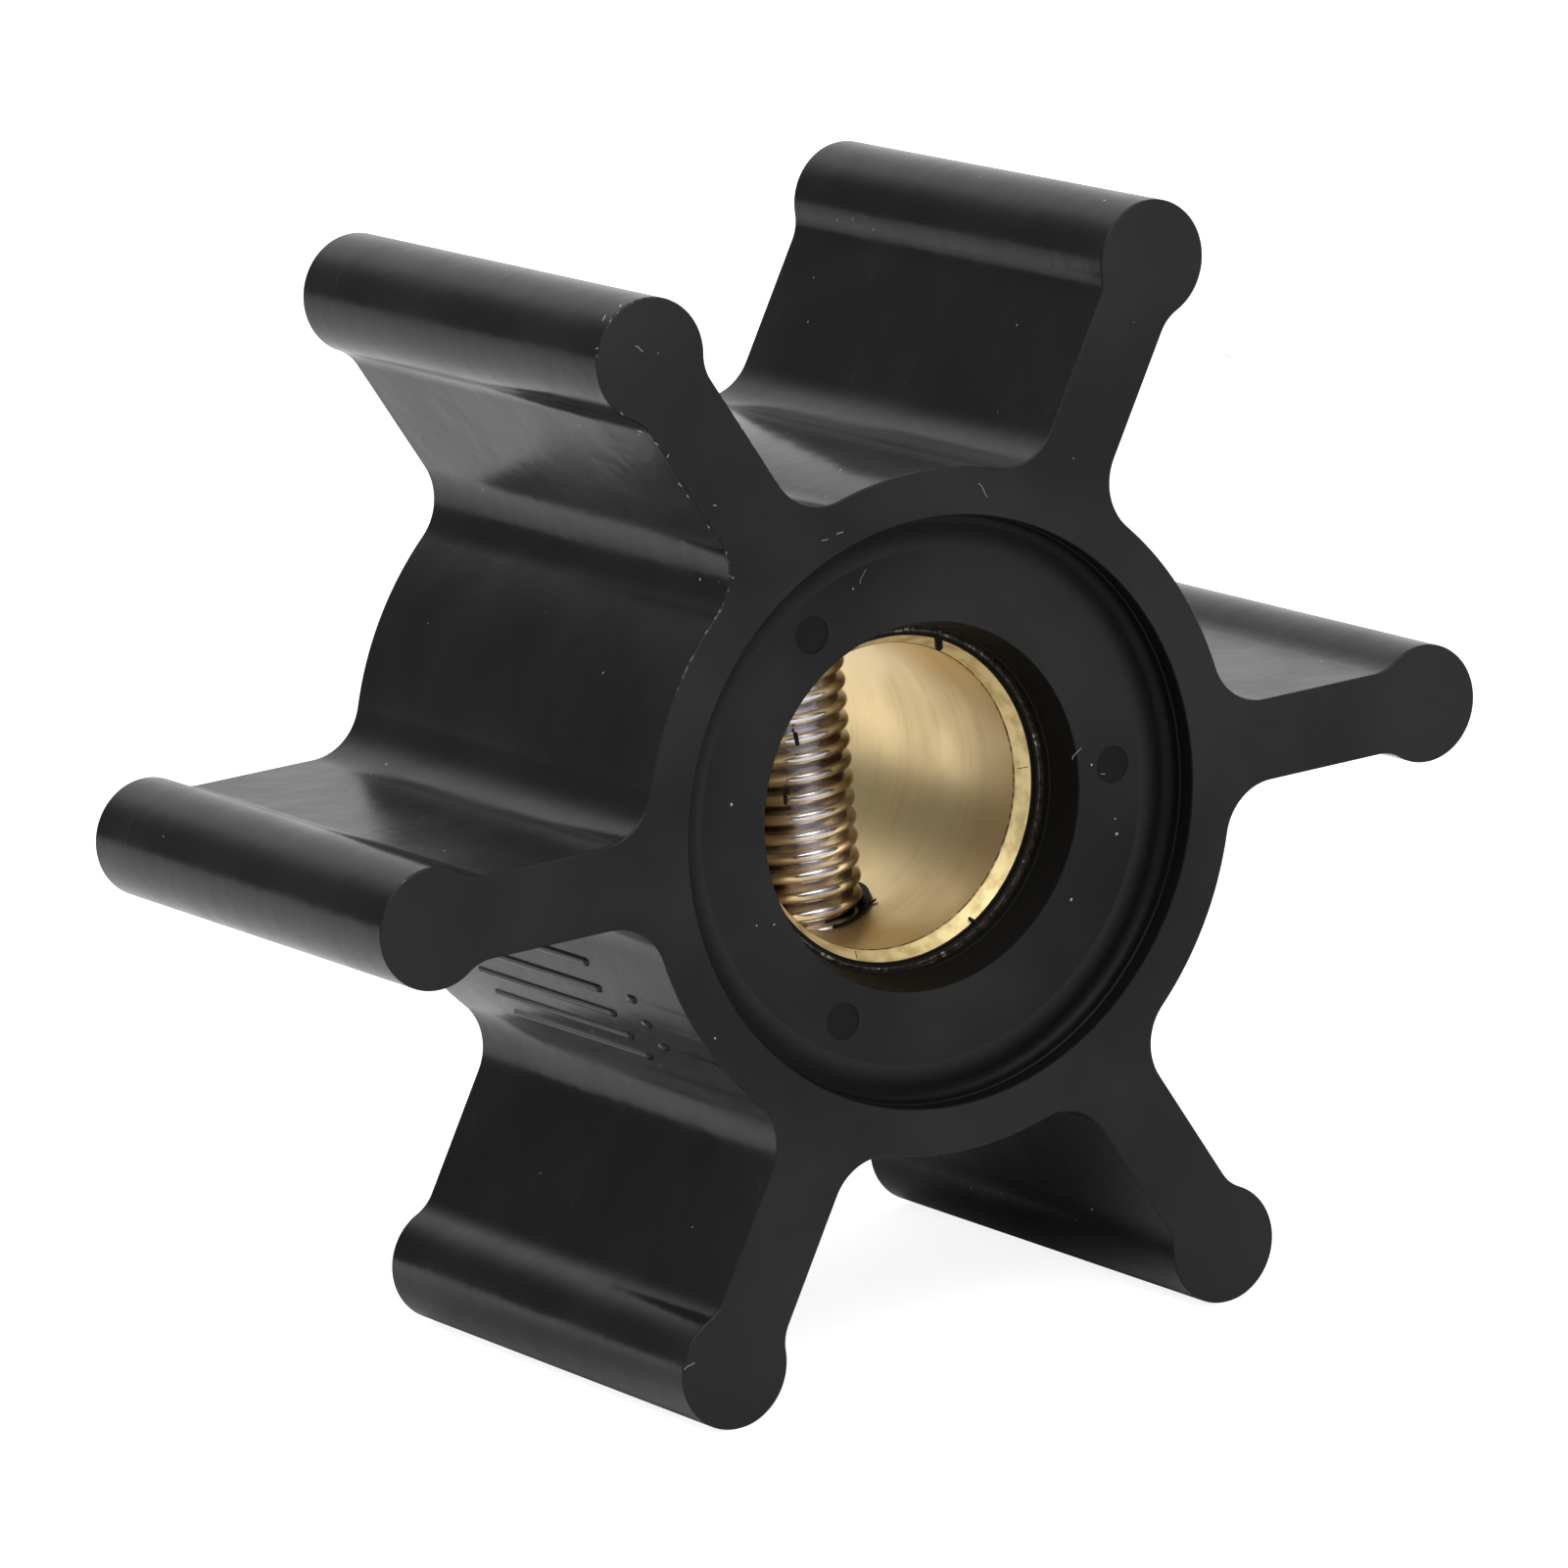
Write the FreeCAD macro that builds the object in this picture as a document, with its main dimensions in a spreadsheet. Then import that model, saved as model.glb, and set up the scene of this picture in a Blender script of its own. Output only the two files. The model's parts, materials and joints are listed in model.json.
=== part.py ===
"""Flexible pump impeller: a rubber hub with six beaded vanes, moulded round a brass bush
and the threaded drive screw that crosses the bush's bore.

Millimetres. The origin is the middle of the bore and the impeller turns about Y.
The front faces -Y, +Z is up, and one vane points along +X.
"""
import FreeCAD, Part
import Sketcher
import os

# Driving sizes

SIZES = {
    # Moulding: the overall form
    "face_width": 22.4,
    "tip_radius": 25.5,
    "hub_radius": 13.6,
    "vane_count": 6,
    "vane_thickness": 3.3,
    "bead_radius": 2.4,
    "root_fillet": 2.3,
    "neck_fillet": 1.75,
    # Moulding: the dished recess in each end of the hub
    "rim_width": 1.9,
    "recess_depth": 1.5,
    "recess_corner": 0.3,
    # Moulding: the mouth of the bore, which narrows in steps from the bush's lead-in outwards
    "lip_skin": 0.15,
    "lip_step": 0.33,
    "throat_step": 0.05,
    "throat_inset": 2.95,
    "mouth_flare": 0.42,
    # Moulding: ejector pin marks on the floor of the front recess
    "ejector_count": 3,
    "ejector_radius": 0.75,
    "ejector_depth": 0.08,
    "ejector_from_wall": 2.76,
    # Bush
    "bore_radius": 6.1,
    "bush_wall": 1.9,
    "bush_inset": 3.7,
    "bore_chamfer": 0.4,
    "bore_chamfer_run": 0.65,
    "key_groove_depth": 0.5,
    "key_groove_run": 1.2,
    "key_groove_inset": 1.7,
    # Drive screw
    "screw_radius": 2.48,
    "screw_buried": 1.2,
    "screw_end_chamfer": 0.6,
    "screw_hole_clearance": 0.17,
}

doc = FreeCAD.newDocument("pump_impeller")
sheet = doc.addObject("Spreadsheet::Sheet", "sizes")
for row, (alias, value) in enumerate(SIZES.items(), start=1):
    sheet.set(f"A{row}", alias)
    sheet.set(f"B{row}", str(value))
    sheet.setAlias(f"B{row}", alias)
doc.recompute()

# Sketches


def make_body(name):
    body = doc.addObject("PartDesign::Body", name)
    body.Label = name
    body.Placement = FreeCAD.Placement()
    return body


def sketch_on(body, name, role):
    """A sketch on one of the body's own origin planes."""
    plane = next(feature for feature in body.Origin.OriginFeatures if feature.Role == role)
    sketch = body.newObject("Sketcher::SketchObject", name)
    sketch.AttachmentSupport = (plane, [""])
    sketch.MapMode = "FlatFace"
    return sketch


def value_of(expression):
    """The number that an expression on the sheet comes to."""
    return float(sheet.evalExpression(expression))


def point_at(across, up):
    return FreeCAD.Vector(value_of(across), value_of(up), 0)


def hold(sketch, geometry, point, across, up):
    """Tie a point of the sketch to a pair of expressions on the sheet."""
    for direction, expression, axis in (("DistanceX", across, -2), ("DistanceY", up, -1)):
        value = value_of(expression)
        if abs(value) < 1e-9:
            on_axis = Sketcher.Constraint("PointOnObject", geometry, point, axis)
            sketch.addConstraint(on_axis)
        else:
            away = Sketcher.Constraint(direction, -1, 1, geometry, point, value)
            index = sketch.addConstraint(away)
            sketch.setExpression(f"Constraints[{index}]", expression)


def hold_radius(sketch, geometry, expression):
    index = sketch.addConstraint(Sketcher.Constraint("Radius", geometry, value_of(expression)))
    sketch.setExpression(f"Constraints[{index}]", expression)


def draw_outline(sketch, corners):
    """A closed outline of straight lines. Each corner is a pair of expressions."""
    points = [point_at(across, up) for across, up in corners]
    count = len(points)
    for here in range(count):
        sketch.addGeometry(Part.LineSegment(points[here], points[(here + 1) % count]), False)
    for here, (across, up) in enumerate(corners):
        before = (here - 1) % count
        sketch.addConstraint(Sketcher.Constraint("Coincident", before, 2, here, 1))
        hold(sketch, here, 1, across, up)


def draw_circle(sketch, radius, across="0"):
    circle = Part.Circle(point_at(across, "0"), FreeCAD.Vector(0, 0, 1), value_of(radius))
    index = sketch.addGeometry(circle, False)
    hold(sketch, index, 3, across, "0")
    hold_radius(sketch, index, radius)


# Features


def extrude(body, kind, name, sketch, length):
    """A pad or pocket that runs half its length to each side of the sketch."""
    feature = body.newObject(kind, name)
    feature.Profile = sketch
    feature.Midplane = True
    feature.setExpression("Length", length)
    doc.recompute()
    return feature


def turn(body, kind, name, sketch, axis="H_Axis"):
    """A revolution or groove, a full turn about one of the sketch's axes."""
    feature = body.newObject(kind, name)
    feature.Profile = sketch
    feature.ReferenceAxis = (sketch, [axis])
    feature.Angle = 360
    doc.recompute()
    return feature


def repeat_round(body, name, original, sketch, count):
    """Even copies round the impeller's axis, which is normal to the sketch."""
    pattern = body.newObject("PartDesign::PolarPattern", name)
    pattern.Originals = [original]
    pattern.Axis = (sketch, ["N_Axis"])
    pattern.Angle = 360
    pattern.setExpression("Occurrences", count)
    body.Tip = pattern
    doc.recompute()
    return pattern


def dress(body, kind, name, base, edges, measure, size):
    """A fillet or chamfer on some edges. Its measure, Radius or Size, is an expression."""
    feature = body.newObject(kind, name)
    feature.Base = (base, edges)
    feature.setExpression(measure, size)
    doc.recompute()
    return feature


def lengthwise_edges(feature, radius):
    """The edges along the impeller's axis that lie at one distance from it."""
    found = []
    for number, edge in enumerate(feature.Shape.Edges, start=1):
        start, end = edge.Vertexes[0].Point, edge.Vertexes[-1].Point
        lengthwise = abs(start.x - end.x) < 1e-4 and abs(start.z - end.z) < 1e-4
        reach = (start.x**2 + start.z**2) ** 0.5
        if isinstance(edge.Curve, Part.Line) and lengthwise and abs(reach - radius) < 1e-3:
            found.append(f"Edge{number}")
    return found


def rim_edges(feature, radius, distance):
    """The round edges about the axis of one radius, at one distance from the middle."""
    found = []
    for number, edge in enumerate(feature.Shape.Edges, start=1):
        if isinstance(edge.Curve, Part.Circle) and abs(edge.Curve.Radius - radius) < 1e-3:
            if abs(abs(edge.Curve.Center.y) - distance) < 1e-3:
                found.append(f"Edge{number}")
    return found


# Outlines that two pieces share, so that the rubber meets what it is moulded round

FACE = "(sizes.face_width / 2)"
RECESS_RADIUS = "(sizes.hub_radius - sizes.rim_width)"
RECESS_FLOOR = f"({FACE} - sizes.recess_depth)"
BUSH_END = f"({FACE} - sizes.bush_inset)"
BUSH_RADIUS = "(sizes.bore_radius + sizes.bush_wall)"
BUSH_MOUTH = "(sizes.bore_radius + sizes.bore_chamfer)"


def mirrored(half):
    """An outline from the front end to the back end, from its back half."""
    return [(f"-{along}", radius) for along, radius in half] + half[::-1]


def bush_outside():
    """The bush's outside, with a keying groove near each end that the rubber fills."""
    groove_outer = f"({BUSH_END} - sizes.key_groove_inset)"
    groove_inner = f"({groove_outer} - sizes.key_groove_run)"
    groove_floor = f"{BUSH_RADIUS} - sizes.key_groove_depth"
    return [
        (BUSH_END, BUSH_RADIUS),
        (groove_outer, BUSH_RADIUS),
        (groove_outer, groove_floor),
        (groove_inner, groove_floor),
        (groove_inner, BUSH_RADIUS),
    ]


def screw_half():
    """Half the screw's section: from one end of its axis round to the other."""
    end = f"({BUSH_RADIUS} + sizes.screw_buried)"
    shoulder = f"({end} - sizes.screw_end_chamfer)"
    tip_radius = "sizes.screw_radius - sizes.screw_end_chamfer"
    return [
        ("0", f"-{end}"),
        (tip_radius, f"-{end}"),
        ("sizes.screw_radius", f"-{shoulder}"),
        ("sizes.screw_radius", shoulder),
        (tip_radius, end),
        ("0", end),
    ]


# Brass bush: turned all over, then drilled across for the screw


def build_bush():
    body = make_body("brass_bush")
    wall = sketch_on(body, "bush_wall", "YZ_Plane")
    lead_in = f"({BUSH_END} - sizes.bore_chamfer_run)"
    bore_side = [
        (BUSH_END, BUSH_MOUTH),
        (lead_in, "sizes.bore_radius"),
        (f"-{lead_in}", "sizes.bore_radius"),
        (f"-{BUSH_END}", BUSH_MOUTH),
    ]
    draw_outline(wall, mirrored(bush_outside()) + bore_side)
    turn(body, "PartDesign::Revolution", "turned_bush", wall)
    hole = sketch_on(body, "screw_hole_circle", "XY_Plane")
    draw_circle(hole, "sizes.screw_radius + sizes.screw_hole_clearance")
    extrude(body, "PartDesign::Pocket", "screw_hole", hole, f"{BUSH_RADIUS} * 3")
    return body


# Drive screw: a stud across the bore, with both ends buried in the rubber


def build_screw():
    body = make_body("drive_screw")
    outline = sketch_on(body, "screw_outline", "XZ_Plane")
    draw_outline(outline, screw_half())
    turn(body, "PartDesign::Revolution", "turned_screw", outline, "V_Axis")
    return body


# Rubber moulding: hub, vanes, and what the mould's core leaves open


def draw_vane(sketch):
    """A straight web that starts inside the hub and ends in a round bead."""
    foot = "sizes.hub_radius - sizes.vane_thickness"
    low, high = "-sizes.vane_thickness / 2", "sizes.vane_thickness / 2"
    bead_centre = "sizes.tip_radius - sizes.bead_radius"
    neck = f"{bead_centre} - sqrt(pow(sizes.bead_radius; 2) - pow(sizes.vane_thickness / 2; 2))"
    foot_low, foot_high = point_at(foot, low), point_at(foot, high)
    neck_low, neck_high = point_at(neck, low), point_at(neck, high)
    tip = point_at("sizes.tip_radius", "0")
    sketch.addGeometry(Part.LineSegment(foot_low, neck_low), False)
    sketch.addGeometry(Part.Arc(neck_low, tip, neck_high), False)
    sketch.addGeometry(Part.LineSegment(neck_high, foot_high), False)
    sketch.addGeometry(Part.LineSegment(foot_high, foot_low), False)
    for piece in range(4):
        joined = Sketcher.Constraint("Coincident", piece, 2, (piece + 1) % 4, 1)
        sketch.addConstraint(joined)
    hold(sketch, 0, 1, foot, low)
    hold(sketch, 3, 1, foot, high)
    hold(sketch, 1, 3, bead_centre, "0")
    hold_radius(sketch, 1, "sizes.bead_radius")
    for web_side in (0, 2):
        sketch.addConstraint(Sketcher.Constraint("Horizontal", web_side))
    return neck_high.Length


def hollow_half():
    """What is open at one end of the hub, from its face down to the end of the bush."""
    skin_top = f"({BUSH_END} + sizes.lip_skin)"
    lip = f"{BUSH_MOUTH} + sizes.lip_step"
    throat = f"{lip} + sizes.throat_step"
    return [
        (FACE, RECESS_RADIUS),
        (RECESS_FLOOR, RECESS_RADIUS),
        (RECESS_FLOOR, f"{throat} + sizes.mouth_flare"),
        (f"({FACE} - sizes.throat_inset)", throat),
        (skin_top, lip),
        (skin_top, BUSH_MOUTH),
        (BUSH_END, BUSH_MOUTH),
    ]


def build_moulding():
    body = make_body("rubber_impeller")

    hub_circle = sketch_on(body, "hub_circle", "XZ_Plane")
    draw_circle(hub_circle, "sizes.hub_radius")
    extrude(body, "PartDesign::Pad", "hub", hub_circle, "sizes.face_width")

    vane_outline = sketch_on(body, "vane_outline", "XZ_Plane")
    neck_reach = draw_vane(vane_outline)
    vane = extrude(body, "PartDesign::Pad", "vane", vane_outline, "sizes.face_width")
    vanes = repeat_round(body, "vanes", vane, vane_outline, "sizes.vane_count")

    fillet = "PartDesign::Fillet"
    neck_edges = lengthwise_edges(vanes, neck_reach)
    necks = dress(body, fillet, "necks", vanes, neck_edges, "Radius", "sizes.neck_fillet")
    root_edges = lengthwise_edges(necks, value_of("sizes.hub_radius"))
    dress(body, fillet, "roots", necks, root_edges, "Radius", "sizes.root_fillet")

    core = sketch_on(body, "core_outline", "YZ_Plane")
    along_axis = [(FACE, "0"), (f"-{FACE}", "0")]
    draw_outline(core, mirrored(hollow_half() + bush_outside()) + along_axis)
    cored = turn(body, "PartDesign::Groove", "core", core)
    corners = rim_edges(cored, value_of(RECESS_RADIUS), value_of(RECESS_FLOOR))
    chamfer = "PartDesign::Chamfer"
    dress(body, chamfer, "recess_corners", cored, corners, "Size", "sizes.recess_corner")

    channel = sketch_on(body, "screw_channel_outline", "XZ_Plane")
    draw_outline(channel, screw_half())
    turn(body, "PartDesign::Groove", "screw_channel", channel, "V_Axis")

    ejector_circle = sketch_on(body, "ejector_circle", "XZ_Plane")
    ejector_circle.setExpression("AttachmentOffset.Base.z", RECESS_FLOOR)
    from_axis = f"{RECESS_RADIUS} - sizes.ejector_from_wall"
    draw_circle(ejector_circle, "sizes.ejector_radius", from_axis)
    mark = extrude(
        body, "PartDesign::Pocket", "ejector_mark", ejector_circle, "sizes.ejector_depth * 2"
    )
    repeat_round(body, "ejector_marks", mark, ejector_circle, "sizes.ejector_count")
    return body


pieces = [build_moulding(), build_bush(), build_screw()]
doc.recompute()

# Every feature has to have built, and every piece is one sound solid, before any is written

for item in doc.Objects:
    if "Invalid" in item.State or "Error" in item.State:
        raise RuntimeError(f"{item.Name} did not build: {item.State}")

for body in pieces:
    if body.Shape.isNull() or not body.Shape.isValid() or len(body.Shape.Solids) != 1:
        raise RuntimeError(f"{body.Label} is not one sound solid")

os.makedirs("parts", exist_ok=True)
for body in pieces:
    body.Shape.exportStep(os.path.join("parts", body.Label + ".step"))
    print(body.Label, round(body.Shape.Volume, 1), "mm3")
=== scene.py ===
# %% [markdown]
# # A rubber pump impeller
#
# A flexible impeller turns in a small water pump. Six rubber vanes with beaded tips are
# moulded in one piece with a hub, round a brass bush. A threaded stud crosses the bush's
# bore, and the slotted end of the pump's shaft goes over it.
#
# This lesson gives each of the three pieces its finish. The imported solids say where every
# piece is and how large, so the driving sizes are read from them wherever they hold them.

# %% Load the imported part
import json
import math

import bmesh
import bpy
from mathutils import Euler, Matrix, Vector


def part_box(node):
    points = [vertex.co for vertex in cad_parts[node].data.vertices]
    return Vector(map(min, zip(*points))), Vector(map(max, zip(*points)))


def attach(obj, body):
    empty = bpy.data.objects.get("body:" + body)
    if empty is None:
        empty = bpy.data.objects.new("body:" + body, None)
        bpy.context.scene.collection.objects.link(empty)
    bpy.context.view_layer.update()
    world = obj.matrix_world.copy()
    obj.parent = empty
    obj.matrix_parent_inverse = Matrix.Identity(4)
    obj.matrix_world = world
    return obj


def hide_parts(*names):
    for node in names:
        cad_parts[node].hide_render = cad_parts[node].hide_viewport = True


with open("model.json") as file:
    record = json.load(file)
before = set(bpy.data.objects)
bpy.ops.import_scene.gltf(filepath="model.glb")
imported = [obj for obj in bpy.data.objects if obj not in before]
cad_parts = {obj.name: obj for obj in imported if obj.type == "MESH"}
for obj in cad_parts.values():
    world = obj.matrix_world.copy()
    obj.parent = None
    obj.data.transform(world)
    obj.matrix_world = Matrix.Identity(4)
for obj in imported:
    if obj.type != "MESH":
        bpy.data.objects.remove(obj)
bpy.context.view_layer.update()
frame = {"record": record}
MM = 0.001

# %% [markdown]
# The sizes below come from the solids: the front face, the vane tips, the floor, the bush
# and the stud. The bore's radius comes from the part's record. Positive Y points from the
# front face to the back one, so the front is negative.

# %% Sizes that the solids and the record hold
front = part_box("rubber_impeller")[0].y
tip_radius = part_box("rubber_impeller")[1].x
floor_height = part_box("rubber_impeller")[0].z
bush_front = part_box("brass_bush")[0].y
bush_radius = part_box("brass_bush")[1].x
screw_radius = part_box("drive_screw")[1].x
screw_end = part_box("drive_screw")[1].z
bore_mount = next(mount for mount in frame["record"]["mounts"] if mount["name"] == "shaft_bore")
bore_radius = bore_mount["dims"]["r_mm"] * MM
print("width", -2 * front / MM, "mm, across the tips", 2 * tip_radius / MM, "mm")

# %% [markdown]
# ## The camera
#
# The camera stands to the left of the part and a little above it, far away with a long
# lens, so that the six vanes keep nearly parallel edges. Its place and its slight roll were
# found by laying the part's outline over the photograph's.

# %% Camera
PHOTO_WIDTH = 1601
FOCAL_LENGTH_IN_PIXELS = 10770
SENSOR_WIDTH = 36
CAMERA_HEADING = math.radians(-31.37)
CAMERA_DIP = math.radians(13.252)
CAMERA_ROLL = math.radians(-4.67)


def at(x, y, z):
    """A place given in millimetres."""
    return Vector((x, y, z)) * MM


camera_place = at(-213.041, -348.843, 95.702)
lens_data = bpy.data.cameras.new("view_camera")
lens_data.sensor_width = SENSOR_WIDTH
lens_data.lens = SENSOR_WIDTH * FOCAL_LENGTH_IN_PIXELS / PHOTO_WIDTH
lens_data.clip_start = 0.02
lens_data.clip_end = 20
camera = bpy.data.objects.new("view_camera", lens_data)
bpy.context.scene.collection.objects.link(camera)
level_view = Euler((math.pi / 2 - CAMERA_DIP, 0, CAMERA_HEADING)).to_matrix().to_4x4()
rolled_view = level_view @ Matrix.Rotation(CAMERA_ROLL, 4, "Z")
camera.matrix_world = Matrix.Translation(camera_place) @ rolled_view
bpy.context.scene.camera = camera
print("lens", round(lens_data.lens, 1), "mm")

# %% [markdown]
# ## Drawing with one vertex
#
# Most of this part is either a flat outline pushed through a width or an outline turned
# about the bore. Both start the same way: a tiny plane is merged into one vertex, which is
# then extruded along straight lines and spun round arcs. Arcs drawn so meet their
# neighbours exactly, which a sculpted or boxed start would not do.

# %% Helpers: a pen made of one vertex
TO_FRONT = Vector((0, -1, 0))
ALONG_BORE = Vector((0, 1, 0))
UP = Vector((0, 0, 1))
SAME_PLACE = 0.0005 * MM


def leave_all():
    """Object mode, with nothing selected."""
    if bpy.context.mode != "OBJECT":
        bpy.ops.object.mode_set(mode="OBJECT")
    bpy.ops.object.select_all(action="DESELECT")


def take(piece):
    """Leave one piece selected and active."""
    leave_all()
    piece.select_set(True)
    bpy.context.view_layer.objects.active = piece


def name_and_settle(name):
    """Name the new primitive and move its place into its mesh."""
    piece = bpy.context.object
    piece.name = piece.data.name = name
    bpy.ops.object.transform_apply(location=True, rotation=True, scale=True)
    return piece


def pen_down(name, point):
    """A new piece that is one selected vertex, in edit mode."""
    leave_all()
    bpy.ops.mesh.primitive_plane_add(size=MM, location=point)
    name_and_settle(name)
    bpy.ops.object.mode_set(mode="EDIT")
    bpy.ops.mesh.select_all(action="SELECT")
    bpy.ops.mesh.merge(type="CENTER")
    return Vector(point)


def line_to(here, there):
    """Extrude the pen's vertex in a straight line."""
    there = Vector(there)
    bpy.ops.mesh.extrude_region_move(TRANSFORM_OT_translate={"value": there - here})
    return there


def arc_about(here, centre, degrees, steps, axis):
    """Spin the pen's vertex about a centre. The operator counts its angle the other way."""
    turn = math.radians(degrees)
    bpy.ops.mesh.spin(steps=steps, angle=-turn, center=centre, axis=axis)
    return centre + Matrix.Rotation(turn, 3, axis) @ (here - centre)


# %% [markdown]
# A drawn outline is mirrored where both its halves are alike, and then pushed through the
# width or turned about the bore. Holes and welds are booleans with plain bodies, such as a
# cylinder for a drill and a rod with round ends for a raised bar.

# %% Helpers: finishing a drawn outline
LATHE_STEPS = 180


def apply_modifier(piece, kind, **settings):
    """Add a modifier with these settings and apply it at once."""
    take(piece)
    modifier = piece.modifiers.new(kind.lower(), kind)
    for setting, value in settings.items():
        setattr(modifier, setting, value)
    bpy.ops.object.modifier_apply(modifier=modifier.name)


def clean_up(piece):
    """Merge what lies in one place and turn every face outwards."""
    take(piece)
    bpy.ops.object.mode_set(mode="EDIT")
    bpy.ops.mesh.select_all(action="SELECT")
    bpy.ops.mesh.remove_doubles(threshold=SAME_PLACE)
    bpy.ops.mesh.normals_make_consistent(inside=False)
    bpy.ops.object.mode_set(mode="OBJECT")


def mirror_over(piece, axis_name):
    """Complete a symmetric half."""
    axes = [axis_name == letter for letter in "XYZ"]
    apply_modifier(piece, "MIRROR", use_axis=axes, merge_threshold=SAME_PLACE)


def turn_full(piece):
    """Spin an outline once round the bore's axis into a closed body."""
    take(piece)
    bpy.ops.object.mode_set(mode="EDIT")
    bpy.ops.mesh.select_all(action="SELECT")
    bpy.ops.mesh.spin(steps=LATHE_STEPS, angle=math.tau, center=(0, 0, 0), axis=ALONG_BORE)
    clean_up(piece)


def combine(piece, tool, operation):
    """Cut a tool from a piece or weld it on, and throw the tool away."""
    apply_modifier(piece, "BOOLEAN", object=tool, operation=operation, solver="EXACT")
    bpy.data.objects.remove(tool)


# %% Helpers: bodies to cut with and to weld on
ROD_SEGMENTS = 16
ROD_RINGS = 12


def cylinder(name, radius, length, centre, along, sides):
    """A cylinder primitive laid along a direction."""
    leave_all()
    turn = UP.rotation_difference(along).to_euler()
    bpy.ops.mesh.primitive_cylinder_add(
        vertices=sides, radius=radius, depth=length, location=centre, rotation=turn
    )
    return name_and_settle(name)


def capsule(name, start, end, radius):
    """A rod with round ends: a sphere, with its upper half moved away."""
    leave_all()
    bpy.ops.mesh.primitive_uv_sphere_add(
        segments=ROD_SEGMENTS, ring_count=ROD_RINGS, radius=radius
    )
    piece = name_and_settle(name)
    bpy.ops.object.mode_set(mode="EDIT")
    bpy.ops.mesh.select_mode(type="VERT")
    bpy.ops.mesh.select_all(action="DESELECT")
    mesh = bmesh.from_edit_mesh(piece.data)
    for vertex in mesh.verts:
        vertex.select_set(vertex.co.z > SAME_PLACE)
    bmesh.update_edit_mesh(piece.data)
    bpy.ops.transform.translate(value=(0, 0, (end - start).length))
    bpy.ops.object.mode_set(mode="OBJECT")
    piece.rotation_euler = UP.rotation_difference(end - start).to_euler()
    piece.location = start
    return name_and_settle(name)


def join(pieces):
    """Make one object of several."""
    take(pieces[0])
    for piece in pieces:
        piece.select_set(True)
    bpy.ops.object.join()
    return pieces[0]


def faces_of(piece):
    """How many faces a piece has."""
    return len(piece.data.polygons)


# %% [markdown]
# ## The rubber moulding: vanes and hub
#
# The outline of one vane repeats six times, and each vane is the same on both its sides.
# So only a twelfth of the outline is drawn, from the tip to halfway between two vanes: the
# bead, the hollow neck under it, the flat web, the fillet at its root and a stretch of hub.

# %% Vane outline
BEAD_STEPS = 26
FILLET_STEPS = 14
HUB_STEPS = 36
ROUND_STEPS = 10

hub_radius = 13.6 * MM
vane_count = 6
half_web = 1.65 * MM
bead_radius = 2.4 * MM
neck_fillet = 1.75 * MM
root_fillet = 2.3 * MM

bead_centre = Vector((tip_radius - bead_radius, front, 0))
neck_rise = half_web + neck_fillet
neck_run = math.sqrt((bead_radius + neck_fillet) ** 2 - neck_rise**2)
neck_centre = Vector((bead_centre.x - neck_run, front, neck_rise))
root_rise = half_web + root_fillet
root_run = math.sqrt((hub_radius + root_fillet) ** 2 - root_rise**2)
root_centre = Vector((root_run, front, root_rise))

bead_turn = math.degrees(math.atan2(neck_rise, -neck_run))
root_angle = math.degrees(math.atan2(root_rise, root_run))
half_sector = 180 / vane_count
hub_centre = Vector((0, front, 0))

pen = pen_down("impeller_rubber", (tip_radius, front, 0))
rubber = bpy.context.object
pen = arc_about(pen, bead_centre, bead_turn, BEAD_STEPS, TO_FRONT)
pen = arc_about(pen, neck_centre, 90 - bead_turn, ROUND_STEPS, TO_FRONT)
pen = line_to(pen, (root_run, front, half_web))
pen = arc_about(pen, root_centre, root_angle - 90, FILLET_STEPS, TO_FRONT)
pen = arc_about(pen, hub_centre, half_sector - root_angle, HUB_STEPS, TO_FRONT)
leave_all()
mirror_over(rubber, "Z")
print("one vane's outline has", len(rubber.data.vertices), "vertices")

# %% [markdown]
# Spin can leave copies instead of a surface, which repeats the vane six times. The closed
# ring is filled and pushed through the width. A real mould leaves a crisp edge with a very
# small radius there, so the edges round both end faces get a fine bevel. It is small, but
# it catches the light in a thin line, as on the real rubber.

# %% Six vanes, pushed through the width
EDGE_STEPS = 3
edge_radius = 0.09 * MM

take(rubber)
bpy.ops.object.mode_set(mode="EDIT")
bpy.ops.mesh.select_all(action="SELECT")
bpy.ops.mesh.spin(
    steps=vane_count, dupli=True, angle=math.tau, center=(0, 0, 0), axis=ALONG_BORE
)
bpy.ops.mesh.select_all(action="SELECT")
bpy.ops.mesh.remove_doubles(threshold=SAME_PLACE)
bpy.ops.mesh.select_all(action="SELECT")
bpy.ops.mesh.edge_face_add()
bpy.ops.mesh.extrude_region_move(TRANSFORM_OT_translate={"value": (0, -2 * front, 0)})
clean_up(rubber)


def select_edges(piece, wanted):
    """In edit mode, select just the edges that pass a test, and stay in edge selection."""
    bpy.ops.mesh.select_mode(type="EDGE")
    bpy.ops.mesh.select_all(action="DESELECT")
    mesh = bmesh.from_edit_mesh(piece.data)
    for edge in mesh.edges:
        edge.select_set(wanted(edge))
    bmesh.update_edit_mesh(piece.data)


def on_an_end_face(edge):
    """True for an edge that lies flat in the front or the back plane."""
    start, end = (vertex.co.y for vertex in edge.verts)
    return abs(start - end) < SAME_PLACE and abs(abs(start) - abs(front)) < SAME_PLACE


take(rubber)
bpy.ops.object.mode_set(mode="EDIT")
select_edges(rubber, on_an_end_face)
bpy.ops.mesh.bevel(offset=edge_radius, segments=EDGE_STEPS, affect="EDGES")
bpy.ops.mesh.select_mode(type="VERT")
leave_all()
print("star prism:", faces_of(rubber), "faces")

# %% [markdown]
# In the bay to the left and below, the hub carries a plain raised pattern: five bars along
# the bore, and a row of three pips beside them. Each is a capsule sunk into the hub until
# only its back stands out.

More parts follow.
